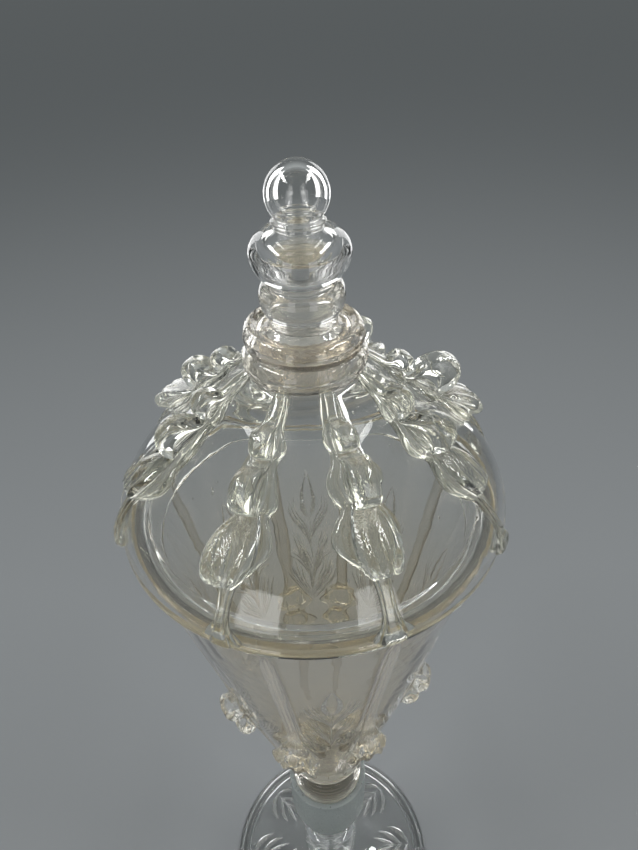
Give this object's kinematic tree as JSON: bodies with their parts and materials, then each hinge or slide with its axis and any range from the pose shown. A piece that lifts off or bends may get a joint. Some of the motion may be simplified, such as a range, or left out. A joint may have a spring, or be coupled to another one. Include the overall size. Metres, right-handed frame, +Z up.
{
  "type": "lidded glass goblet",
  "caption": "Tall covered glass goblet: conical bowl on a knopped stem and disc foot, domed lift-off lid with pinched trails and a knopped finial.",
  "frame": {"origin": "centre of the foot's resting plane", "axes": "+Z up the goblet's axis, -Y towards the front, between the first and the last trail"},
  "size_m": [0.1202, 0.1202, 0.4041],
  "materials": {
    "clear_glass": "clear polished soda glass",
    "straw_glass": "thick soda glass with a straw tint",
    "frosted_glass": "ground matte glass"
  },
  "bodies": {
    "goblet": {"foot": "clear_glass", "stem_knop": "clear_glass", "stem_neck": "clear_glass", "frosted_cup": "frosted_glass", "bowl_base_knop": "straw_glass", "bowl": "clear_glass", "bowl_trail_1": "straw_glass", "bowl_trail_2": "straw_glass", "bowl_trail_3": "straw_glass", "bowl_trail_4": "straw_glass", "bowl_trail_5": "straw_glass", "bowl_trail_6": "straw_glass", "bowl_trail_7": "straw_glass", "bowl_trail_8": "straw_glass"},
    "lid": {"lid_dome": "clear_glass", "lid_bezel": "straw_glass", "lid_trail_1": "straw_glass", "lid_trail_2": "straw_glass", "lid_trail_3": "straw_glass", "lid_trail_4": "straw_glass", "lid_trail_5": "straw_glass", "lid_trail_6": "straw_glass", "lid_trail_7": "straw_glass", "lid_trail_8": "straw_glass", "collar_lower_ring": "straw_glass", "collar_upper_ring": "straw_glass", "finial_neck": "straw_glass", "small_knop": "clear_glass", "wide_knop": "clear_glass", "finial_ball": "clear_glass"}
  },
  "joints": [
    {"name": "lid_lift", "type": "slide", "parent": "goblet", "child": "lid", "axis": [0, 0, 1], "range_m": [0, 0.06]}
  ]
}
